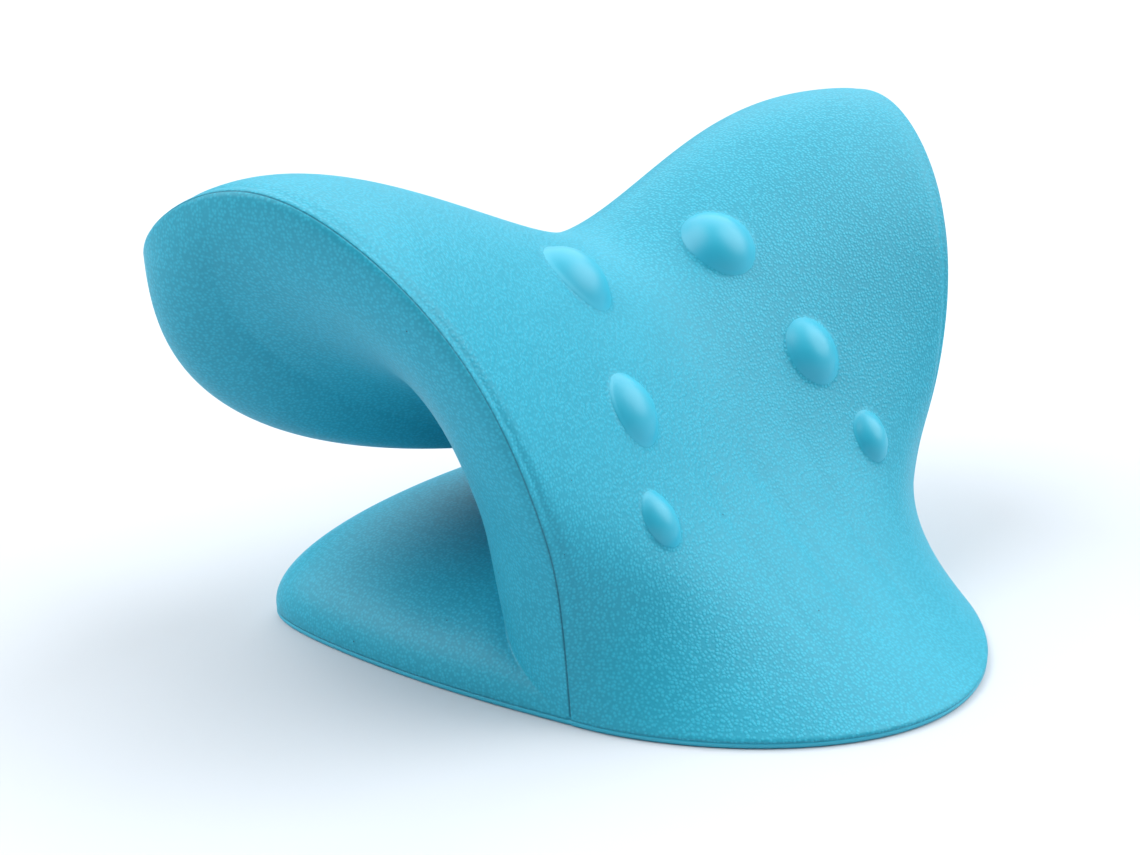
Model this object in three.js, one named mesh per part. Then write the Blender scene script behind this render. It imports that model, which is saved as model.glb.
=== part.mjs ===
// Neck and shoulder stretcher: one moulded foam block, C-shaped when seen from the side.
// X runs across the shoulders, -Y is the side with the nodules, +Z is up and the floor is Z = 0.
import * as THREE from "three";

// ---------------------------------------------------------------- driving dimensions, mm
const WIDTH = 260; // over both wings
const DEPTH = 178; // front of the foot to the rear lip
const HEIGHT = 136; // floor to the top of a wing
const SKIN = 2; // dense skin that forms against the mould
const GAP = 0.5; // clearance drawn between neighbouring bodies
const LID = 2; // height of the mould lid's skin under the foot
const LID_LIP = 0.6; // how far that skin stands out round the foot

// Nodules: place on the front surface (station along the slope, share of the way to the rim)
// and size (along the slope, across it, height).
const NODULES = [
  { name: "upper", station: 3.84, share: 0.30, along: 24, across: 21, rise: 5.5 },
  { name: "middle", station: 2.66, share: 0.39, along: 21, across: 17, rise: 4.6 },
  { name: "lower", station: 1.90, share: 0.49, along: 16, across: 12, rise: 3.6 },
];

// ---------------------------------------------------------------- stations
// Every station is one half-section from the middle plane out to the edge of its surface.
// They are drawn for a block of the drawn size and stretched to the size above.
// middle: Y and Z on the middle plane; level: how far the section stays level from there;
// edge: where it ends; lean: the direction and strength with which it reaches that edge.
const DRAWN = [260, 178, 136];
const FRONT = [
  { middle: [0, 0], level: 39, edge: [75, 64, 0], lean: [6, 24, 0] },
  { middle: [30, 17], level: 32, edge: [78, 65, 33], lean: [23, 9, 7] },
  { middle: [64, 46], level: 32, edge: [87, 64, 61], lean: [22, 3, 7] },
  { middle: [87, 75], level: 28, edge: [102, 75, 103], lean: [30, -10, 5] },
  { middle: [111, 96], level: 25, edge: [119, 108, 133], lean: [40, -6, 0] },
  { middle: [136, 104], level: 24, edge: [128, 139, 132], lean: [49, -13, -10] },
  { middle: [154, 97], level: 34, edge: [128, 162, 116], lean: [42, -5, -7] },
  { middle: [171, 83], level: 40, edge: [109, 177, 97], lean: [32, -7, 12] },
];

// The rear surface runs on from the rear lip, under the arch, over the base to the rear floor
// edge. Down to the front foot its edge is the rim, taken at the front station in "rim".
const REAR = [
  { middle: [171, 83], level: 40, rim: 7, lean: [32, -7, 12] },
  { middle: [175, 64], level: 52, rim: 6.55, lean: [21, -12, 30] },
  { middle: [158, 41], level: 73, rim: 5.75, lean: [0, -13, 58] },
  { middle: [135, 42], level: 44, rim: 4.6, lean: [-15, -25, 45] },
  { middle: [119, 49], level: 29, rim: 2.4, lean: [-10, -49, 7] },
  { middle: [112, 33], level: 39, rim: 0, lean: [-10, -41, -18] },
  { middle: [125, 27], level: 37, edge: [86, 104, 0], lean: [-2, -7, -22] },
  { middle: [156, 28], level: 50, edge: [92, 146, 0], lean: [-2, -4, -21] },
  { middle: [174, 21], level: 54, edge: [89, 170, 0], lean: [0, -3, -15] },
  { middle: [178, 0], level: 52, edge: [76, 178, 0], lean: [12, 0, 0] },
];

const HALF_COLUMNS = 11; // facets from the middle plane to the edge
const FRONT_STEPS = 3; // rows between two front stations
const BASE_STEPS = 3; // rows between two rear stations that end on the floor
const FLOOR = LID + GAP; // the floor edges of both surfaces sit on the lid's skin

// ---------------------------------------------------------------- curves
const stretch = [WIDTH / DRAWN[0], DEPTH / DRAWN[1], (HEIGHT - FLOOR) / DRAWN[2]];

// Natural cubic spline through rows of numbers, one knot per row.
function spline(rows) {
  const last = rows.length - 1;
  const bend = rows.map((row) => row.map(() => 0));
  for (let axis = 0; axis < rows[0].length; axis += 1) {
    const weight = [0];
    const load = [0];
    for (let i = 1; i < last; i += 1) {
      const turn = 6 * (rows[i + 1][axis] - 2 * rows[i][axis] + rows[i - 1][axis]);
      weight[i] = 1 / (4 - weight[i - 1]);
      load[i] = (turn - load[i - 1]) * weight[i];
    }
    for (let i = last - 1; i > 0; i -= 1) {
      bend[i][axis] = load[i] - weight[i] * bend[i + 1][axis];
    }
  }
  return (knot) => {
    const i = Math.min(Math.floor(knot), last - 1);
    const t = knot - i;
    const r = 1 - t;
    return rows[i].map((value, axis) => {
      const straight = r * value + t * rows[i + 1][axis];
      const curved = (r ** 3 - r) * bend[i][axis] + (t ** 3 - t) * bend[i + 1][axis];
      return straight + curved / 6;
    });
  };
}

// Value at x of the straight lines through the points (xs, ys); xs rises.
function between(xs, ys, x) {
  const i = Math.max(1, xs.findIndex((value) => value >= x - 1e-9));
  const t = (x - xs[i - 1]) / (xs[i] - xs[i - 1]);
  return ys[i - 1] + t * (ys[i] - ys[i - 1]);
}

const shapeOf = (station) => [...station.middle, station.level, ...station.lean];
const frontShape = spline(FRONT.map(shapeOf));
const rearShape = spline(REAR.map(shapeOf));
const rim = spline(FRONT.map((station) => station.edge));
const rimStations = REAR.filter((station) => station.rim !== undefined);
const floorStations = REAR.filter((station) => station.edge !== undefined);
const floorSide = spline([FRONT[0].edge, ...floorStations.map((station) => station.edge)]);
const rimKnots = rimStations.map((_, index) => index);
const rimEnd = rimStations.length - 1;

// Point of a section at a share (-1 to 1) of the way from the middle plane to the edge.
function sectionPoint([middleY, middleZ, level, ...lean], edge, share) {
  const s = Math.abs(share);
  const start = [0, middleY, middleZ];
  const pull = [level, middleY, middleZ];
  const arrive = edge.map((value, axis) => value - lean[axis]);
  const point = edge.map((value, axis) => {
    const near = (1 - s) ** 3 * start[axis] + 3 * s * (1 - s) ** 2 * pull[axis];
    return (near + 3 * s * s * (1 - s) * arrive[axis] + s ** 3 * value) * stretch[axis];
  });
  return new THREE.Vector3(point[0] * Math.sign(share), point[1], point[2] + FLOOR);
}

const frontPoint = (station, share) => sectionPoint(frontShape(station), rim(station), share);

function rearPoint(station, share) {
  const knots = rimStations.map((row) => row.rim);
  const edge = station <= rimEnd
    ? rim(between(rimKnots, knots, station))
    : floorSide(station - rimEnd);
  return sectionPoint(rearShape(station), edge, share);
}

// ---------------------------------------------------------------- grids of points
const shares = [];
for (let i = -HALF_COLUMNS; i <= HALF_COLUMNS; i += 1) {
  shares.push(i / HALF_COLUMNS);
}
const frontRows = [];
for (let i = 0; i <= (FRONT.length - 1) * FRONT_STEPS; i += 1) {
  frontRows.push(i / FRONT_STEPS);
}

// Rear rows: the same rim points backwards, then the base.
const rimUp = rimStations.map((row) => row.rim).reverse();
const knotsUp = rimKnots.slice().reverse();
const rearRows = frontRows.map((station) => between(rimUp, knotsUp, station)).reverse();
for (let i = 1; i <= (floorStations.length) * BASE_STEPS; i += 1) {
  rearRows.push(rimEnd + i / BASE_STEPS);
}

const frontGrid = frontRows.map((row) => shares.map((share) => frontPoint(row, share)));
const rearGrid = rearRows.map((row) => shares.map((share) => rearPoint(row, share)));

// Unit normals of a grid, facing out of the block: each quad adds its own to its corners.
function gridNormals(grid) {
  const normals = grid.map((row) => row.map(() => new THREE.Vector3()));
  for (let i = 0; i + 1 < grid.length; i += 1) {
    for (let j = 0; j + 1 < grid[i].length; j += 1) {
      const falling = grid[i + 1][j + 1].clone().sub(grid[i][j]);
      const rising = grid[i][j + 1].clone().sub(grid[i + 1][j]);
      const facing = rising.cross(falling);
      normals[i][j].add(facing);
      normals[i + 1][j].add(facing);
      normals[i][j + 1].add(facing);
      normals[i + 1][j + 1].add(facing);
    }
  }
  normals.flat().forEach((normal) => normal.normalize());
  return normals;
}

const frontNormals = gridNormals(frontGrid);
const rearNormals = gridNormals(rearGrid);

// Shift that puts a point the given depth under both surfaces that meet there.
const bothUnder = (a, b, depth) => a.clone().add(b).multiplyScalar(-depth / (1 + a.dot(b)));

// The same along the floor only.
function alongFloor(normal, depth) {
  const flat = new THREE.Vector3(normal.x, normal.y, 0);
  return flat.multiplyScalar(-depth / Math.max(flat.lengthSq(), 0.3));
}

const lastFront = frontRows.length - 1;
const lastColumn = shares.length - 1;

function frontShift(i, j, depth) {
  const atRim = j === 0 || j === lastColumn;
  const own = frontNormals[i][j];
  const other = rearNormals[lastFront - i][j];
  if (i === 0) {
    const normal = atRim ? own.clone().add(other).normalize() : own;
    return alongFloor(normal, depth);
  }
  if (atRim || i === lastFront) {
    return bothUnder(own, other, depth);
  }
  return own.clone().multiplyScalar(-depth);
}

function rearShift(i, j, depth) {
  const atSide = j === 0 || j === lastColumn;
  if (i === 0 || (atSide && i <= lastFront)) {
    return frontShift(lastFront - i, j, depth);
  }
  if (atSide || i === rearRows.length - 1) {
    return alongFloor(rearNormals[i][j], depth);
  }
  return rearNormals[i][j].clone().multiplyScalar(-depth);
}

const inset = (grid, shift, depth) => grid.map((row, i) => row.map((point, j) => (
  point.clone().add(shift(i, j, depth))
)));

// ---------------------------------------------------------------- bodies
const group = new THREE.Group();

const SKIN_COLOUR = 0x35a9c4;
const NODULE_COLOUR = 0x3fb4cf;
const CORE_COLOUR = 0x8fcbd6;

function addBody(name, triangles, colour, roughness) {
  const geometry = new THREE.BufferGeometry();
  const numbers = triangles.flatMap((point) => point.toArray());
  geometry.setAttribute("position", new THREE.Float32BufferAttribute(numbers, 3));
  geometry.computeVertexNormals();
  const material = new THREE.MeshStandardMaterial({ color: colour, roughness, metalness: 0 });
  const mesh = new THREE.Mesh(geometry, material);
  mesh.name = name;
  group.add(mesh);
}

function sheet(grid, flip) {
  const triangles = [];
  for (let i = 0; i + 1 < grid.length; i += 1) {
    for (let j = 0; j + 1 < grid[i].length; j += 1) {
      const [a, b] = [grid[i][j], grid[i][j + 1]];
      const [c, d] = [grid[i + 1][j], grid[i + 1][j + 1]];
      const quad = j < grid[i].length / 2 ? [a, b, c, b, d, c] : [a, b, d, a, d, c];
      triangles.push(...(flip ? quad.reverse() : quad));
    }
  }
  return triangles;
}

// Outline of a grid, once round, from the first corner along the first row.
function border(grid) {
  const lastRow = grid.length - 1;
  const right = grid.slice(1, lastRow).map((row) => row[row.length - 1]);
  const left = grid.slice(1, lastRow).map((row) => row[0]).reverse();
  return [...grid[0], ...right, ...grid[lastRow].slice().reverse(), ...left];
}

// Closed skin between an outer grid and the grid under it.
function shell(over, under) {
  const high = border(over);
  const low = border(under);
  const triangles = [...sheet(over, false), ...sheet(under, true)];
  high.forEach((point, k) => {
    const next = (k + 1) % high.length;
    const [a, b, c, d] = [point, high[next], low[k], low[next]];
    const shorter = a.distanceTo(d) < b.distanceTo(c);
    triangles.push(...(shorter ? [a, d, b, a, c, d] : [a, c, b, b, c, d]));
  });
  return triangles;
}

// Pull the edge columns, and the first or last row, back so that the two skins do not touch.
function trimmed(grid, lipRow) {
  const back = (point, towards) => {
    const way = towards.clone().sub(point);
    return point.clone().add(way.multiplyScalar((0.6 * GAP) / way.length()));
  };
  const result = grid.map((row, i) => row.map((point, j) => {
    const onFloor = Math.abs(point.z - FLOOR) < 1e-6;
    if (j === 0 && !onFloor) {
      return back(point, row[1]);
    }
    if (j === lastColumn && !onFloor) {
      return back(point, row[j - 1]);
    }
    return point;
  }));
  const inner = lipRow === 0 ? 1 : lipRow - 1;
  result[lipRow] = result[lipRow].map((point, j) => back(point, result[inner][j]));
  return result;
}

// Outline of the foot at the floor, once round from the left seam: front, right, rear, left.
function footOutline(front, rear) {
  const lastRow = rear.length - 1;
  const base = rear.slice(lastFront + 1, lastRow);
  const right = base.map((row) => row[lastColumn]);
  const left = base.map((row) => row[0]).reverse();
  return [...front[0], ...right, ...rear[lastRow].slice().reverse(), ...left];
}

// Flat cover over an outline that lies in one plane; facing up or down.
function cover(outline, up) {
  const flat = outline.map((point) => new THREE.Vector2(point.x, point.y));
  return THREE.ShapeUtils.triangulateShape(flat, []).flatMap((face) => {
    const corners = face.map((index) => outline[index]);
    return up ? corners : corners.reverse();
  });
}

// Soft core
const coreFront = inset(frontGrid, frontShift, SKIN + GAP);
const coreRear = inset(rearGrid, rearShift, SKIN + GAP);
const coreTriangles = [
  ...sheet(coreFront, false),
  ...sheet(coreRear, false),
  ...cover(footOutline(coreFront, coreRear), false),
];
addBody("foam_core", coreTriangles, CORE_COLOUR, 0.95);

// Skins
const frontUnder = inset(frontGrid, frontShift, SKIN);
const rearUnder = inset(rearGrid, rearShift, SKIN);
const frontSkin = shell(trimmed(frontGrid, lastFront), trimmed(frontUnder, lastFront));
const rearSkin = shell(trimmed(rearGrid, 0), trimmed(rearUnder, 0));
addBody("front_skin", frontSkin, SKIN_COLOUR, 0.7);
addBody("rear_skin", rearSkin, SKIN_COLOUR, 0.7);

// Lid skin under the foot
const foot = footOutline(frontGrid, rearGrid);
const lidAt = (reach, z) => foot.map((point, k) => {
  const before = foot[(k + foot.length - 1) % foot.length];
  const after = foot[(k + 1) % foot.length];
  const along = after.clone().sub(before).normalize();
  return new THREE.Vector3(point.x + along.y * reach, point.y - along.x * reach, z);
});
const lidRings = [lidAt(0, 0), lidAt(LID_LIP, 0.6), lidAt(LID_LIP, LID - 0.5), lidAt(0.1, LID)];
const lidTriangles = [...cover(lidRings[0], false), ...cover(lidRings[3], true)];
for (let ring = 0; ring < 3; ring += 1) {
  const low = lidRings[ring];
  const high = lidRings[ring + 1];
  low.forEach((point, k) => {
    const next = (k + 1) % low.length;
    lidTriangles.push(point, low[next], high[k], high[k], low[next], high[next]);
  });
}
addBody("base_skin", lidTriangles, SKIN_COLOUR, 0.75);

// Nodules
function noduleTriangles(nodule, side) {
  const share = nodule.share * side;
  const step = 0.01;
  const here = frontPoint(nodule.station, share);
  const upSlope = frontPoint(nodule.station + step, share).sub(here).divideScalar(step);
  const toRim = frontPoint(nodule.station, share + step).sub(here).divideScalar(step);
  const outward = toRim.clone().cross(upSlope).normalize();
  const sideways = upSlope.clone().cross(outward).normalize();
  const onDome = (radius, angle, height) => {
    const aside = (nodule.across / 2) * radius * Math.cos(angle);
    const climb = (nodule.along / 2) * radius * Math.sin(angle);
    const shareStep = aside / toRim.dot(sideways);
    const drift = (shareStep * toRim.dot(upSlope)) / upSlope.length();
    const station = nodule.station + (climb - drift) / upSlope.length();
    const place = frontPoint(station, share + shareStep);
    return place.add(outward.clone().multiplyScalar(height));
  };
  const rings = 5;
  const spokes = 20;
  const seat = GAP + 0.15;
  const ringAt = (radius, height) => Array.from({ length: spokes }, (_, k) => (
    onDome(radius, (2 * Math.PI * k) / spokes, height)
  ));
  const top = onDome(0, 0, seat + nodule.rise);
  const bottom = onDome(0, 0, seat);
  const levels = [];
  for (let ring = 1; ring <= rings; ring += 1) {
    const radius = ring / rings;
    levels.push(ringAt(radius, seat + 0.3 + (nodule.rise - 0.3) * (1 - radius ** 2.4)));
  }
  for (let ring = rings; ring > 0; ring -= 2) {
    levels.push(ringAt(ring / rings, seat));
  }
  const triangles = [];
  for (let k = 0; k < spokes; k += 1) {
    const next = (k + 1) % spokes;
    triangles.push(top, levels[0][k], levels[0][next]);
    for (let ring = 0; ring + 1 < levels.length; ring += 1) {
      const [a, b] = [levels[ring][k], levels[ring][next]];
      const [c, d] = [levels[ring + 1][k], levels[ring + 1][next]];
      triangles.push(a, c, b, b, c, d);
    }
    triangles.push(levels[levels.length - 1][k], bottom, levels[levels.length - 1][next]);
  }
  return triangles;
}

NODULES.forEach((nodule) => {
  const left = noduleTriangles(nodule, -1);
  const right = noduleTriangles(nodule, 1);
  addBody(`nodule_${nodule.name}_left`, left, NODULE_COLOUR, 0.45);
  addBody(`nodule_${nodule.name}_right`, right, NODULE_COLOUR, 0.45);
});

// Middle of the bounding box over the origin, floor at Z = 0.
const box = new THREE.Box3().setFromObject(group);
const middle = box.getCenter(new THREE.Vector3());
group.children.forEach((mesh) => mesh.geometry.translate(-middle.x, -middle.y, -box.min.z));

export default group;
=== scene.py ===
# %% [markdown]
# # A neck stretcher moulded in soft foam
# The real thing is one block of flexible polyurethane. The foam rises in a closed mould and forms
# its own dense, pebbled skin against the mould walls, so there are no panels, screws or covers.
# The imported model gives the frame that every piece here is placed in.

# %% Load the frame
import bisect
import math

import bmesh
import bpy
from mathutils import Matrix, Vector
from mathutils.geometry import interpolate_bezier


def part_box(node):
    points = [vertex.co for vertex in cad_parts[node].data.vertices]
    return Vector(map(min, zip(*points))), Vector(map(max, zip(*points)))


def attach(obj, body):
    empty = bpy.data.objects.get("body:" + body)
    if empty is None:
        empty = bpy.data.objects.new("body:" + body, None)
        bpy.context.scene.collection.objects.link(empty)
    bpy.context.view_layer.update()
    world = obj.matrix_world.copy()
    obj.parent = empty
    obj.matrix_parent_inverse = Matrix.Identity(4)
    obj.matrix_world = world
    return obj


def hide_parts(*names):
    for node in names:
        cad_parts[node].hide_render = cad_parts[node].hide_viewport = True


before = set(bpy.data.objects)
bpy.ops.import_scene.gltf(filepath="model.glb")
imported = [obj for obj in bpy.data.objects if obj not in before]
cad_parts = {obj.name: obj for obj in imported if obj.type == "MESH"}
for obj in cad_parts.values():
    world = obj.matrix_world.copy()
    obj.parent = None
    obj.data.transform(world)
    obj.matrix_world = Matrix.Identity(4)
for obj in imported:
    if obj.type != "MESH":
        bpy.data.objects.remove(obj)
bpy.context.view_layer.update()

# %% [markdown]
# ## The shape as sections
# A shape like this has no flat sides or round corners to measure, so it is described as a
# boat builder would: half-sections at stations, each a smooth curve from the middle plane out
# to the edge of its surface. There are two surfaces, because the mould has two main halves. They
# meet at the parting line that runs along both flanks and the rear lip.
# Each row gives the place on the middle plane (Y, Z), how far the section stays level, the edge
# (X, Y, Z), and the direction in which the section reaches that edge. All sizes are millimetres.

# %% Stations of the front half: foot, slope, saddle, lip
FRONT = [
    ((0, 0), 39, (75, 64, 0), (6, 24, 0)),
    ((30, 17), 32, (78, 65, 33), (23, 9, 7)),
    ((64, 46), 32, (87, 64, 61), (22, 3, 7)),
    ((87, 75), 28, (102, 75, 103), (30, -10, 5)),
    ((111, 96), 25, (119, 108, 133), (40, -6, 0)),
    ((136, 104), 24, (128, 139, 132), (49, -13, -10)),
    ((154, 97), 34, (128, 162, 116), (42, -5, -7)),
    ((171, 83), 40, (109, 177, 97), (32, -7, 12)),
]

# %% Stations of the rear half: lip, hollow under the arch, base
# While the edge follows the parting line, the row holds the front station that it meets.
REAR_ARCH = [
    ((171, 83), 40, 7, (32, -7, 12)),
    ((175, 64), 52, 6.55, (21, -12, 30)),
    ((158, 41), 73, 5.75, (0, -13, 58)),
    ((135, 42), 44, 4.6, (-15, -25, 45)),
    ((119, 49), 29, 2.4, (-10, -49, 7)),
    ((112, 33), 39, 0, (-10, -41, -18)),
]
REAR_BASE = [
    ((125, 27), 37, (86, 104, 0), (-2, -7, -22)),
    ((156, 28), 50, (92, 146, 0), (-2, -4, -21)),
    ((174, 21), 54, (89, 170, 0), (0, -3, -15)),
    ((178, 0), 52, (76, 178, 0), (12, 0, 0)),
]

# %% [markdown]
# The stations are joined by a natural cubic spline, the curve that a thin batten takes when it is
# bent round pins. It keeps the surface fair: no flat spots and no kinks between stations.

# %% Batten through rows of numbers
def batten(rows):
    last, bend = len(rows) - 1, [[0.0] * len(rows[0]) for _ in rows]
    for axis in range(len(rows[0])):
        weight, load = [0.0], [0.0]
        for i in range(1, last):
            turn = 6 * (rows[i + 1][axis] - 2 * rows[i][axis] + rows[i - 1][axis])
            weight.append(1 / (4 - weight[-1]))
            load.append((turn - load[-1]) * weight[-1])
        for i in range(last - 1, 0, -1):
            bend[i][axis] = load[i] - weight[i] * bend[i + 1][axis]

    def at(knot):
        i = min(int(knot), last - 1)
        t = knot - i
        r = 1 - t
        return [r * a + t * b + ((r**3 - r) * c + (t**3 - t) * d) / 6
                for a, b, c, d in zip(rows[i], rows[i + 1], bend[i], bend[i + 1])]
    return at


def between(xs, ys, x):
    """Value at x of the straight lines through the points (xs, ys); xs rises."""
    i = min(max(bisect.bisect_left(xs, x - 1e-9), 1), len(xs) - 1)
    return ys[i - 1] + (ys[i] - ys[i - 1]) * (x - xs[i - 1]) / (xs[i] - xs[i - 1])


def section_shape(row):
    return [*row[0], row[1], *row[3]]


front_shape = batten([section_shape(row) for row in FRONT])
rear_shape = batten([section_shape(row) for row in REAR_ARCH + REAR_BASE])
parting_line = batten([row[2] for row in FRONT])
floor_edge = batten([FRONT[0][2], *(row[2] for row in REAR_BASE)])
ARCH_END = len(REAR_ARCH) - 1
LIP_STATION = len(FRONT) - 1
MEETS = [row[2] for row in REAR_ARCH]
print("parting line at the saddle, mm:", [round(x, 1) for x in parting_line(4.5)])

# %% [markdown]
# A half-section is one Bezier curve with four controls: the middle plane, the level stretch, the
# lean and the edge. A share of 0 is the middle plane, and a share of 1 is the edge.

# %% Half-section at any station
def half_section(shape, edge):
    y, z, level, *lean = shape
    end = Vector(edge)
    return Vector((0, y, z)), Vector((level, y, z)), end - Vector(lean), end


def front_section(station):
    return half_section(front_shape(station), parting_line(station))


def rear_section(knot):
    if knot <= ARCH_END:
        edge = parting_line(between(range(ARCH_END + 1), MEETS, knot))
    else:
        edge = floor_edge(knot - ARCH_END)
    return half_section(rear_shape(knot), edge)


def on_section(controls, share):
    a, b, c, d = controls
    r = 1 - share
    return a * r**3 + b * (3 * r * r * share) + c * (3 * r * share * share) + d * share**3


# %% [markdown]
# ## From the drawing to the model's frame
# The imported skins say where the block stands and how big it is. The drawing is stretched to fit
# them, so a change of size in the model is followed here.

# %% Map from the drawing, in millimetres, to the model's frame, in metres
PROBES = 300
skin_boxes = [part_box("front_skin"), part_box("rear_skin")]
skin_low = Vector(min(box[0][axis] for box in skin_boxes) for axis in range(3))
skin_high = Vector(max(box[1][axis] for box in skin_boxes) for axis in range(3))
edge_points = [parting_line(LIP_STATION * k / PROBES) for k in range(PROBES + 1)]
foot_depth = REAR_BASE[-1][0][0]
half_width, top = (max(point[axis] for point in edge_points) for axis in (0, 2))
drawn_low, drawn_high = Vector((-half_width, 0, 0)), Vector((half_width, foot_depth, top))
stretch = Vector((skin_high[axis] - skin_low[axis]) / (drawn_high[axis] - drawn_low[axis])
                 for axis in range(3))
TO_FRAME = (Matrix.Translation(skin_low) @ Matrix.Diagonal(stretch).to_4x4()
            @ Matrix.Translation(-drawn_low))
print("stretch, mm to m:", [round(x, 7) for x in stretch])

# %% [markdown]
# ## The block
# Each surface starts as a flat grid, and every vertex of the grid is carried to its own place on
# a section. Columns are set out by their true distance from the edge, close together beside the
# parting line, where the edge is rounded and the seam groove is cut, and about 1 mm apart elsewhere.

# %% Columns measured in from the edge
CLOSE = [0, 0.12, 0.26, 0.42, 0.6, 0.85, 1.15, 1.5, 1.9, 2.4, 3.0, 3.7, 4.5, 5.4, 6.4, 7.5, 8.7, 10]
HALF_COLUMNS = 128  # from the middle plane to the edge
SAMPLES = 160  # points at which a half-section's length is measured
EVEN = HALF_COLUMNS - len(CLOSE) + 1


def set_out(controls):
    """Points of a half-section and their distances from its edge, from the edge inwards."""
    curve = interpolate_bezier(*controls, SAMPLES)[::-1]
    lengths = [0.0]
    for here, there in zip(curve, curve[1:]):
        lengths.append(lengths[-1] + (there - here).length)
    spare = (lengths[-1] - CLOSE[-1]) / EVEN
    inward = CLOSE + [CLOSE[-1] + spare * k for k in range(1, EVEN + 1)]
    shares = [1 - k / (SAMPLES - 1) for k in range(SAMPLES)]
    places = [on_section(controls, between(lengths, shares, min(d, lengths[-1]))) for d in inward]
    return places, inward


# %% Rows of both surfaces
FRONT_ROWS, BASE_ROWS = 270, 150
LIP_STEP = 21  # mm from one station to the next at the lip
top_row = LIP_STATION - CLOSE[-1] / LIP_STEP
front_stations = [top_row * k / FRONT_ROWS for k in range(FRONT_ROWS)]
front_stations += [LIP_STATION - distance / LIP_STEP for distance in reversed(CLOSE)]
LIP = len(front_stations) - 1
meets_up, knots_up = MEETS[::-1], list(range(ARCH_END, -1, -1))
rear_knots = [between(meets_up, knots_up, station) for station in reversed(front_stations)]
rear_knots += [ARCH_END + len(REAR_BASE) * k / BASE_ROWS for k in range(1, BASE_ROWS + 1)]
front_rows = [front_section(station) for station in front_stations]
rear_rows = [rear_section(knot) for knot in rear_knots]
front_table = [set_out(controls) for controls in front_rows]
rear_table = [set_out(controls) for controls in rear_rows]
print("rows:", len(front_rows), "front,", len(rear_rows), "rear")

# %% [markdown]
# ### Rounding the parting line
# On the drawing the two surfaces meet in a knife edge, which foam can't have. Near the edge each
# row is blended with its neighbour across the edge. If the two rows leave the edge along the
# directions a and b, the blend moves a point by (a + b) (w - d)^2 / 4w, where d is its distance
# from the edge and w how wide the blend is: wide and soft on the column, tight on the wings.

# %% Round both surfaces over the parting line and the rear lip
STATIONS = range(len(FRONT))
ROUND_OVER = [0.8, 1.6, 5.0, 6.0, 3.6, 2.0, 2.2, 3.0]  # width of the blend at each station, mm
LIP_ROUND = 4.0
AIM_ROW = 12  # row that shows which way a surface leaves the lip
NO_SEAM = 99.0  # distance kept where the edge is the foot's and not the parting line


def blend(distance, width):
    return max(width - distance, 0) ** 2 / (4 * width)


moves = {}
for row, station in enumerate(front_stations):
    width = between(STATIONS, ROUND_OVER, station)
    way = ((front_rows[row][2] - front_rows[row][3]).normalized()
           + (rear_rows[LIP - row][2] - rear_rows[LIP - row][3]).normalized())
    for column, distance in enumerate(CLOSE):
        moves["front", row, column] = way * blend(distance, width)
        moves["rear", LIP - row, column] = way * blend(distance, width)
for column in range(HALF_COLUMNS + 1):
    lip_point = front_table[LIP][0][column]
    into_front = (front_table[LIP - AIM_ROW][0][column] - lip_point).normalized()
    into_rear = (rear_table[AIM_ROW][0][column] - lip_point).normalized()
    for table, name, rows in ((front_table, "front", range(LIP - len(CLOSE) + 1, LIP + 1)),
                              (rear_table, "rear", range(len(CLOSE)))):
        for row in rows:
            distance = (table[row][0][column] - lip_point).length
            move = (into_front + into_rear) * blend(distance, LIP_ROUND)
            moves[name, row, column] = moves.get((name, row, column), Vector()) + move
            if distance < table[row][1][column]:
                table[row][1][column] = distance
for (name, row, column), move in moves.items():
    (front_table if name == "front" else rear_table)[row][0][column] += move
for _, inward in rear_table[LIP + 1:]:
    inward[:] = [NO_SEAM] * len(inward)
print("rounded", len(moves), "points")

# %% [markdown]
# ### Laying and welding the grids
# Every point keeps three notes: its distance from the parting line, which mould half made it, and
# its station. The details and the material use them later.

# %% Lay both grids on their sections and weld them
WELD = 0.002  # mm
block = bmesh.new()
layers = block.verts.layers.float
from_seam, is_front, station_of = (layers.new(name) for name in ("from_seam", "is_front", "station"))


def lay_grid(table, stations, front):
    last = len(table) - 1
    made = bmesh.ops.create_grid(block, x_segments=2 * HALF_COLUMNS, y_segments=last, size=1)
    for vertex in made["verts"]:
        column = HALF_COLUMNS - abs(round(vertex.co.x * HALF_COLUMNS))
        row = round((vertex.co.y + 1) / 2 * last)
        place = table[row][0][column]
        side = 0 if column == HALF_COLUMNS else math.copysign(1, vertex.co.x)
        vertex.co = (side * place.x, place.y, place.z)
        vertex[from_seam], vertex[is_front] = table[row][1][column], front
        vertex[station_of] = stations[min(row, len(stations) - 1)]


lay_grid(front_table, front_stations, 1.0)
lay_grid(rear_table, front_stations[::-1], 0.0)
laid = len(block.verts)
edge_verts = [v for v in block.verts if v.is_boundary]
bmesh.ops.remove_doubles(block, verts=edge_verts, dist=WELD)
bmesh.ops.recalc_face_normals(block, faces=block.faces)
block.normal_update()
if max(block.verts, key=lambda vertex: vertex.co.z).normal.z < 0:
    bmesh.ops.reverse_faces(block, faces=block.faces)
print("welded", laid - len(block.verts), "pairs of points;", len(block.faces), "faces")

# %% [markdown]
# ### Details pressed into the front
# The nodules that knead the neck are part of the same moulding: low domes with a small fillet at
# the foot. A faint groove for the spine runs down the middle of the lower slope between two shallow
# valleys, and another valley follows the parting line, where the mould halves press the skin.

# %% Profiles of the details, as heights over the plain surface in mm
# Nodules: station, share of the way to the edge, length up the slope, width across it, rise.
NODULES = {
    "upper": (3.84, 0.30, 24, 21, 5.5),
    "middle": (2.66, 0.39, 21, 17, 4.6),
    "lower": (1.90, 0.49, 16, 12, 3.6),
}
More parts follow.
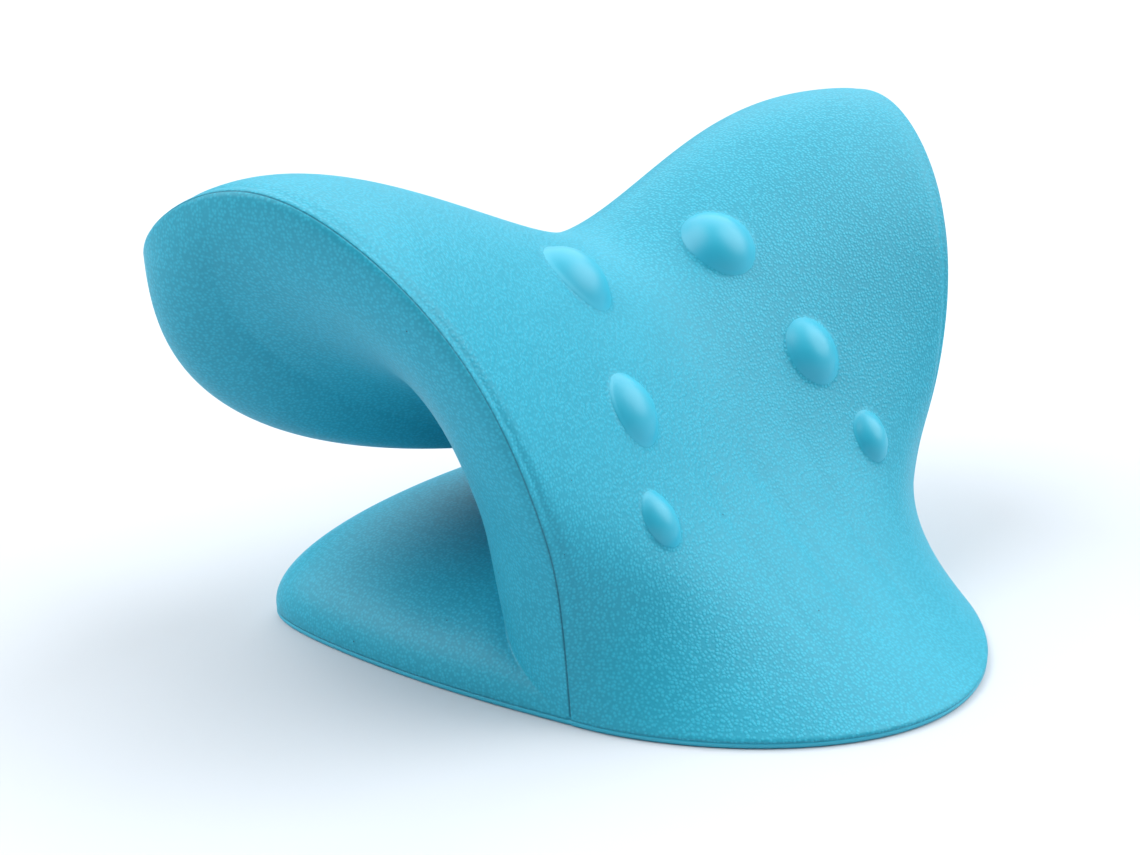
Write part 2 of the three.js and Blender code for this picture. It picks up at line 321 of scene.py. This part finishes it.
# Depth of the valley beside the parting line and of the seam itself, at each station.
VALLEY = [0.0, 0.2, 0.75, 0.8, 0.45, 0.25, 0.2, 0.0]
VALLEY_PLACE, VALLEY_WIDTH = 3.2, 1.9
SEAM_GROOVE = [0.3, 0.3, 0.12, 0.1, 0.2, 0.25, 0.25, 0.2]
SEAM_WIDTH = 0.42
SPINE_DEPTH, SPINE_WIDTH = 0.55, 3.6
SIDE_DEPTH, SIDE_WIDTH, SIDE_PLACE = 0.3, 3, 20
FULLNESS, FILLET = 2.3, 0.22
NUDGE = 0.01  # step of station or share that shows which way the surface runs


def dome(radius, rise):
    """Height of a nodule at a share of the way to its foot; a soft maximum makes the fillet."""
    ball = 1 - radius**FULLNESS
    return rise * (max(ball, 0) + max(FILLET - abs(ball), 0) ** 2 / (4 * FILLET))


def bell(distance, width):
    return math.exp(-((distance / width) ** 2))


def ease(low, high, x):
    t = min(max((x - low) / (high - low), 0), 1)
    return t * t * (3 - 2 * t)


def surface_point(station, share, side):
    place = on_section(front_section(station), share)
    return Vector((side * place.x, place.y, place.z))


def nodule_seat(name, side):
    """Centre of a nodule on the plain surface, its half-axes and the ways they point."""
    station, share, along, across, rise = NODULES[name]
    centre = surface_point(station, share, side)
    up_slope = (surface_point(station + NUDGE, share, side) - centre) / NUDGE
    to_rim = (surface_point(station, share + NUDGE, side) - centre) / NUDGE
    up, out = up_slope.normalized(), to_rim.cross(up_slope).normalized()
    return {"centre": centre, "rise": rise, "half": (across / 2, along / 2),
            "up": up, "aside": up.cross(out), "up_slope": up_slope, "to_rim": to_rim}


def nodule_radius(seat, place):
    """Share of the way from the nodule's centre to its foot."""
    offset, (half_across, half_along) = place - seat["centre"], seat["half"]
    return math.hypot(offset.dot(seat["aside"]) / half_across, offset.dot(seat["up"]) / half_along)


def nodule_steps(seat, radius, turn):
    """Steps of station and share that lead from the centre to a place on the nodule."""
    aside, climb = (half * radius * way for half, way
                    in zip(seat["half"], (math.cos(turn), math.sin(turn))))
    share_step = aside / seat["to_rim"].dot(seat["aside"])
    drift = share_step * seat["to_rim"].dot(seat["up"])
    return (climb - drift) / seat["up_slope"].length, share_step


seats = {(name, side): nodule_seat(name, side) for name in NODULES for side in (-1, 1)}
print("upper nodule's centre, mm:", [round(x, 1) for x in seats["upper", 1]["centre"]])

# %% Press the details into the block
block.normal_update()
lifts = []
for vertex in block.verts:
    station, distance, height = vertex[station_of], vertex[from_seam], 0.0
    if vertex[is_front]:
        spine = ease(0.45, 1.0, station) * (1 - ease(1.9, 2.5, station))
        off_middle = abs(vertex.co.x)
        height -= spine * SPINE_DEPTH * bell(off_middle, SPINE_WIDTH)
        height -= spine * SIDE_DEPTH * bell(off_middle - SIDE_PLACE, SIDE_WIDTH)
        height -= between(STATIONS, VALLEY, station) * bell(distance - VALLEY_PLACE, VALLEY_WIDTH)
        for seat in seats.values():
            if (vertex.co - seat["centre"]).length < 1.4 * max(seat["half"]):
                height += dome(nodule_radius(seat, vertex.co), seat["rise"])
    height -= between(STATIONS, SEAM_GROOVE, station) * max(1 - distance / SEAM_WIDTH, 0)
    lifts.append(vertex.normal * height)
for vertex, lift in zip(block.verts, lifts):
    vertex.co += lift
bmesh.ops.transform(block, matrix=TO_FRAME, verts=block.verts)

# %% [markdown]
# ### The foot of the block
# The open edge goes a little way straight down behind the lid's skin, and is closed with one face.

# %% Close the block underneath
MM = 0.001
SKIRT = 0.8 * MM
rim_edges = [edge for edge in block.edges if edge.is_boundary]
skirt = bmesh.ops.extrude_edge_only(block, edges=rim_edges)["geom"]
skirt_verts = [part for part in skirt if isinstance(part, bmesh.types.BMVert)]
bmesh.ops.translate(block, verts=skirt_verts, vec=(0, 0, -SKIRT))
foot_loop = [(vertex.co.x / MM, vertex.co.y / MM) for vertex in skirt_verts]
bmesh.ops.holes_fill(block, edges=[edge for edge in block.edges if edge.is_boundary])
bmesh.ops.recalc_face_normals(block, faces=block.faces)
print("open edges left:", sum(edge.is_boundary for edge in block.edges))


def finish_piece(mesh, name):
    data = bpy.data.meshes.new(name)
    mesh.to_mesh(data)
    mesh.free()
    data.shade_smooth()
    piece = bpy.data.objects.new(name, data)
    bpy.context.scene.collection.objects.link(piece)
    print(name, "has", len(data.vertices), "points")
    return piece


moulded_block = finish_piece(block, "moulded_block")

# %% [markdown]
# ## Nodule skins
# The mould is polished where it forms the nodules, so their skin is smooth while the rest is
# pebbled. Each smooth patch is its own closed lens, made from a sphere whose upper half is carried
# onto the dome, just proud of the block, and whose lower half is pressed flat under the skin.

# %% Make six smooth lenses
PROUD = 0.12  # mm over the block
SUNK = 1.0  # depth of the flat underside, mm
REACH, FULL = 1.04, 0.99  # radius where a lens ends, and where it is fully proud


def nodule_lens(name, side):
    seat = seats[name, side]
    station, share = NODULES[name][:2]
    lens = bmesh.new()
    bmesh.ops.create_uvsphere(lens, u_segments=72, v_segments=48, radius=1)
    for vertex in lens.verts:
        height_angle = math.asin(min(max(vertex.co.z, -1), 1))
        radius = REACH * (1 - abs(height_angle) / (math.pi / 2))
        turn = math.atan2(vertex.co.y, vertex.co.x)
        steps = nodule_steps(seat, radius, turn)
        here = station + steps[0], share + steps[1]
        place = surface_point(*here, side)
        up_slope = surface_point(here[0] + NUDGE, here[1], side) - place
        to_rim = surface_point(here[0], here[1] + NUDGE, side) - place
        out = to_rim.cross(up_slope).normalized() * side
        edge = ease(REACH, FULL, radius)
        height = dome(nodule_radius(seat, place), seat["rise"]) + PROUD * (2 * edge - 1)
        vertex.co = place + out * (height if height_angle >= 0 else -SUNK)
    bmesh.ops.recalc_face_normals(lens, faces=lens.faces)
    bmesh.ops.transform(lens, matrix=TO_FRAME, verts=lens.verts)
    return finish_piece(lens, f"smooth_nodule_{name}_{'left' if side < 0 else 'right'}")


nodules = {key: nodule_lens(*key) for key in seats}

# %% [markdown]
# ## Lid skin
# The foot is closed by the mould's flat lid, which leaves a thin band all round just over the floor.
# It is built from rings of the foot's own outline, bridged from one to the next.

# %% Rings of the foot outline
# How far each ring stands out from the block, and its height, mm.
LID_RINGS = [(-0.8, 0.0), (-0.25, 0.3), (0.0, 0.9), (0.0, 1.5), (-0.35, 1.85), (-0.9, 2.05)]
lid_low, lid_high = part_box("base_skin")
middle_y = (lid_low.y + lid_high.y) / 2 / MM
foot_loop = sorted(set(foot_loop), key=lambda p: math.atan2(p[1] - middle_y, p[0]))[::2]
lid = bmesh.new()
rings = []
for reach, height in LID_RINGS:
    ring = []
    for k, (x, y) in enumerate(foot_loop):
        before, after = foot_loop[k - 2], foot_loop[(k + 2) % len(foot_loop)]
        along = Vector((after[0] - before[0], after[1] - before[1])).normalized()
        ring.append(lid.verts.new((x + along.y * reach, y - along.x * reach, height)))
    rings.append([lid.edges.new(pair) for pair in zip(ring, ring[1:] + ring[:1])])
for low, high in zip(rings, rings[1:]):
    bmesh.ops.bridge_loops(lid, edges=low + high)
for ring in (rings[0], rings[-1]):
    bmesh.ops.contextual_create(lid, geom=ring)
bmesh.ops.recalc_face_normals(lid, faces=lid.faces)
bmesh.ops.scale(lid, vec=(MM, MM, MM), verts=lid.verts)
lid_skin = finish_piece(lid, "lid_skin_piece")

# %% [markdown]
# ## Materials
# The skin is polyurethane that set against the mould: dense, a little waxy, and covered in small
# rounded pebbles about a millimetre apart, copied from an etched mould. Light catches the tops of
# the pebbles and sinks into the gaps between them, which is what makes the colour look deep. That
# light and shade is also painted into the colour: the pebble tops lighter, the gaps darker.

# %% Colours and the one helper that adds a node
def srgb(code):
    """Linear colour of an sRGB hex value."""
    parts = [int(code[k:k + 2], 16) / 255 for k in (1, 3, 5)]
    return (*(c / 12.92 if c <= 0.04045 else ((c + 0.055) / 1.055) ** 2.4 for c in parts), 1.0)


def add(tree, kind, sockets=None, **settings):
    """Adds a node: settings are its own properties, sockets are values or links for its inputs."""
    made = tree.nodes.new(kind)
    for name, value in settings.items():
        setattr(made, name, value)
    for name, value in (sockets or {}).items():
        if isinstance(value, bpy.types.NodeSocket):
            tree.links.new(value, made.inputs[name])
        else:
            made.inputs[name].default_value = value
    return made


def new_material(name):
    material = bpy.data.materials.new(name)
    material.use_nodes = True
    tree = material.node_tree
    tree.nodes.clear()
    return material, tree


def per_metre(millimetres):
    """Texture scale for a pattern that repeats every so many millimetres."""
    return 1000 / millimetres


# %% Pebbled polyurethane skin
# Painted highlight on the top of a pebble, painted shade in the gap between pebbles, and painted
# shade inside a seam or a pin-hole.
SKIN_LIT, SKIN_GAP_SHADE, SKIN_HOLLOW_SHADE = srgb("#2CA8C3"), srgb("#1E91AA"), srgb("#0F5568")
pebbled, tree = new_material("polyurethane_skin_pebbled")
coords = add(tree, "ShaderNodeTexCoord").outputs["Object"]
wander = add(tree, "ShaderNodeTexNoise", {"Vector": coords, "Scale": per_metre(2.2), "Detail": 1.0})
shifted = add(tree, "ShaderNodeVectorMath", {0: wander.outputs["Color"], 1: (0.5, 0.5, 0.5)},
              operation="SUBTRACT").outputs[0]
bent = add(tree, "ShaderNodeVectorMath", {0: shifted, 1: (0.0005, 0.0005, 0.0005), 2: coords},
           operation="MULTIPLY_ADD").outputs[0]
# One pebble every 0.95 mm.
cells = add(tree, "ShaderNodeTexVoronoi", {"Vector": bent, "Scale": per_metre(0.95),
                                           "Randomness": 0.75})
pebble = add(tree, "ShaderNodeMapRange", {"Value": cells.outputs["Distance"], "From Min": 0.12,
                                          "From Max": 0.68, "To Min": 0.8, "To Max": 0.0},
             interpolation_type="SMOOTHSTEP").outputs[0]
# Broad, faint clouding of the skin, some 20 mm across.
cloud = add(tree, "ShaderNodeTexNoise", {"Vector": coords, "Scale": per_metre(20), "Detail": 2.0})
# Pebble tops are painted lighter and the gaps darker, as painted highlight and painted shade that
# follow the relief, over the skin's faint random clouding.
clouding_and_pebble_shade = add(tree, "ShaderNodeMath", {0: cloud.outputs[0], 1: 0.4, 2: pebble},
           operation="MULTIPLY_ADD").outputs[0]
skin_colour_with_painted_shade = add(tree, "ShaderNodeMix", {0: clouding_and_pebble_shade, 6: SKIN_GAP_SHADE, 7: SKIN_LIT},
                  data_type="RGBA").outputs[2]

# %% Painted shade in the skin: inside the parting line, and inside a pin-hole here and there
seam = add(tree, "ShaderNodeAttribute", attribute_name="from_seam", attribute_type="GEOMETRY")
# Within 0.4 mm of the parting line the colour is painted dark: painted shade inside the seam groove.
seam_painted_shade = add(tree, "ShaderNodeMapRange", {"Value": seam.outputs["Fac"], "From Min": 0.1,
                                             "From Max": 0.4, "To Min": 0.6, "To Max": 0.0}).outputs[0]


def pin_holes(tree, coords):
    """1 inside the small burst bubbles of the skin, half a millimetre across, and 0 elsewhere."""
    spots = add(tree, "ShaderNodeTexVoronoi", {"Vector": coords, "Scale": per_metre(14)})
    return add(tree, "ShaderNodeMapRange", {"Value": spots.outputs["Distance"], "From Min": 0.013,
                                            "From Max": 0.020, "To Min": 1.0, "To Max": 0.0}).outputs[0]


holes = pin_holes(tree, coords)
seam_and_hole_shade = add(tree, "ShaderNodeMath", {0: seam_painted_shade, 1: holes}, operation="MAXIMUM").outputs[0]
# Seam and pin-holes take the dark colour: painted shade in these hollows.
colour_with_hole_shade = add(tree, "ShaderNodeMix", {0: seam_and_hole_shade, 6: skin_colour_with_painted_shade, 7: SKIN_HOLLOW_SHADE},
             data_type="RGBA").outputs[2]

# %% Relief and gloss of the pebbled skin
relief = add(tree, "ShaderNodeMath", {0: holes, 1: -1.5, 2: pebble},
             operation="MULTIPLY_ADD").outputs[0]
# The etched mould half marks the front most; on the rear half the pebbles are faint.
half = add(tree, "ShaderNodeAttribute", attribute_name="is_front", attribute_type="GEOMETRY")
depth = add(tree, "ShaderNodeMapRange", {"Value": half.outputs["Fac"], "To Min": 0.3,
                                         "To Max": 0.65}).outputs[0]
bump = add(tree, "ShaderNodeBump", {"Height": relief, "Strength": depth, "Distance": 0.00018})
shade = add(tree, "ShaderNodeBsdfPrincipled", {"Base Color": colour_with_hole_shade, "Roughness": 0.5,
                                               "Specular IOR Level": 0.35,
                                               "Normal": bump.outputs[0]})
add(tree, "ShaderNodeOutputMaterial", {"Surface": shade.outputs[0]})
print(pebbled.name, "has", len(tree.nodes), "nodes")

# %% Smooth polyurethane skin
smooth_skin, tree = new_material("polyurethane_skin_smooth")
coords = add(tree, "ShaderNodeTexCoord").outputs["Object"]
haze = add(tree, "ShaderNodeTexNoise", {"Vector": coords, "Scale": per_metre(0.5), "Detail": 1.0})
holes = pin_holes(tree, coords)
# Pin-holes are painted dark: painted shade inside the holes.
skin_colour_with_painted_shade = add(tree, "ShaderNodeMix", {0: holes, 6: SKIN_LIT, 7: SKIN_HOLLOW_SHADE},
                  data_type="RGBA").outputs[2]
relief = add(tree, "ShaderNodeMath", {0: holes, 1: -8.0, 2: haze.outputs[0]},
             operation="MULTIPLY_ADD").outputs[0]
bump = add(tree, "ShaderNodeBump", {"Height": relief, "Strength": 0.15, "Distance": 0.00003})
shade = add(tree, "ShaderNodeBsdfPrincipled", {"Base Color": skin_colour_with_painted_shade, "Roughness": 0.42,
                                               "Normal": bump.outputs[0]})
add(tree, "ShaderNodeOutputMaterial", {"Surface": shade.outputs[0]})
print(smooth_skin.name, "has", len(tree.nodes), "nodes")

# %% [markdown]
# ### Which piece wears what
# Every piece is foam through and through, and stands in for the plain solids of the model.
# Nothing moves, so all of them ride on the one body.

# %% Put the materials on the pieces
SKINS = [(moulded_block, pebbled, "pebbled_skin"), (lid_skin, smooth_skin, "lid_skin")]
SKINS += [(lens, smooth_skin, "smooth_skin") for lens in nodules.values()]
for piece, material, slot in SKINS:
    piece.data.materials.append(material)
    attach(piece, "root")
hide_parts("foam_core", "front_skin", "rear_skin")
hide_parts("base_skin")
for (name, side), lens in nodules.items():
    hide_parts(f"nodule_{name}_{'left' if side < 0 else 'right'}")

# %% [markdown]
# ## Studio
# A pale floor that sweeps up far away, and five very soft lights. The strongest two come from the
# front right and the rear left, so the flank and the hollow are shaded and the slope is bright.

# %% Floor, swept up far away into a low wall
FLOOR_RADIUS = 14  # m
SWEEP = [(1.08, 0.15), (1.06, 0.35), (1.03, 0.5), (1.0, 0.5)]  # growth and rise of each ring, m
floor_mesh = bmesh.new()
bmesh.ops.create_circle(floor_mesh, cap_ends=True, segments=96, radius=FLOOR_RADIUS)
for growth, rise in SWEEP:
    rim_edges = [edge for edge in floor_mesh.edges if edge.is_boundary]
    ring = bmesh.ops.extrude_edge_only(floor_mesh, edges=rim_edges)["geom"]
    ring_verts = [part for part in ring if isinstance(part, bmesh.types.BMVert)]
    bmesh.ops.scale(floor_mesh, vec=(growth, growth, 1), verts=ring_verts)
    bmesh.ops.translate(floor_mesh, vec=(0, 0, rise), verts=ring_verts)
bmesh.ops.recalc_face_normals(floor_mesh, faces=floor_mesh.faces)
floor = finish_piece(floor_mesh, "studio_floor")
white, tree = new_material("white_paper")
shade = add(tree, "ShaderNodeBsdfPrincipled", {"Base Color": srgb("#C6CCD2"), "Roughness": 0.9})
add(tree, "ShaderNodeOutputMaterial", {"Surface": shade.outputs[0]})
floor.data.materials.append(white)

# %% Lights and surroundings
LIGHTS = [
    # name, azimuth it comes from, height, strength, softness (degrees)
    ("front_right", 45, 45, 3.05, 60),
    ("rear_left", 225, 45, 2.9, 60),
    ("rear_right", 135, 45, 1.4, 60),
    ("overhead", 0, 90, 0.3, 60),
    ("right", 90, 45, 0.5, 60),
]
for name, azimuth, height, strength, softness in LIGHTS:
    lamp = bpy.data.lights.new(name, "SUN")
    lamp.energy, lamp.angle = strength, math.radians(softness)
    holder = bpy.data.objects.new(name, lamp)
    a, h = math.radians(azimuth), math.radians(height)
    towards = Vector((math.sin(a) * math.cos(h), -math.cos(a) * math.cos(h), math.sin(h)))
    holder.rotation_euler = towards.to_track_quat("Z", "Y").to_euler()
    bpy.context.scene.collection.objects.link(holder)
world = bpy.data.worlds.new("pale_room")
bpy.context.scene.world = world
world.use_nodes = True
world.node_tree.nodes["Background"].inputs["Color"].default_value = srgb("#FFFFFF")
world.node_tree.nodes["Background"].inputs["Strength"].default_value = 0.05
bpy.context.scene.view_settings.view_transform = "Standard"
print("lights:", [row[0] for row in LIGHTS])

# %% [markdown]
# ### Camera
# It stands at the front left, a little over the wings, and looks down at the middle of the block.

# %% Camera
TILT = 0.25  # degrees
camera = bpy.data.objects.new("camera", bpy.data.cameras.new("camera"))
camera.location = (-0.3427, -0.2915, 0.2120)
looking = Vector((0.6686, 0.6671, -0.3287))
camera.rotation_euler = looking.to_track_quat("-Z", "Y").to_euler()
camera.rotation_euler.rotate_axis("Z", math.radians(TILT))
camera.data.lens, camera.data.sensor_width = 53.00, 36
camera.data.clip_start, camera.data.clip_end = 0.01, 100
bpy.context.scene.collection.objects.link(camera)
bpy.context.scene.camera = camera
print("camera at, m:", tuple(round(x, 3) for x in camera.location))
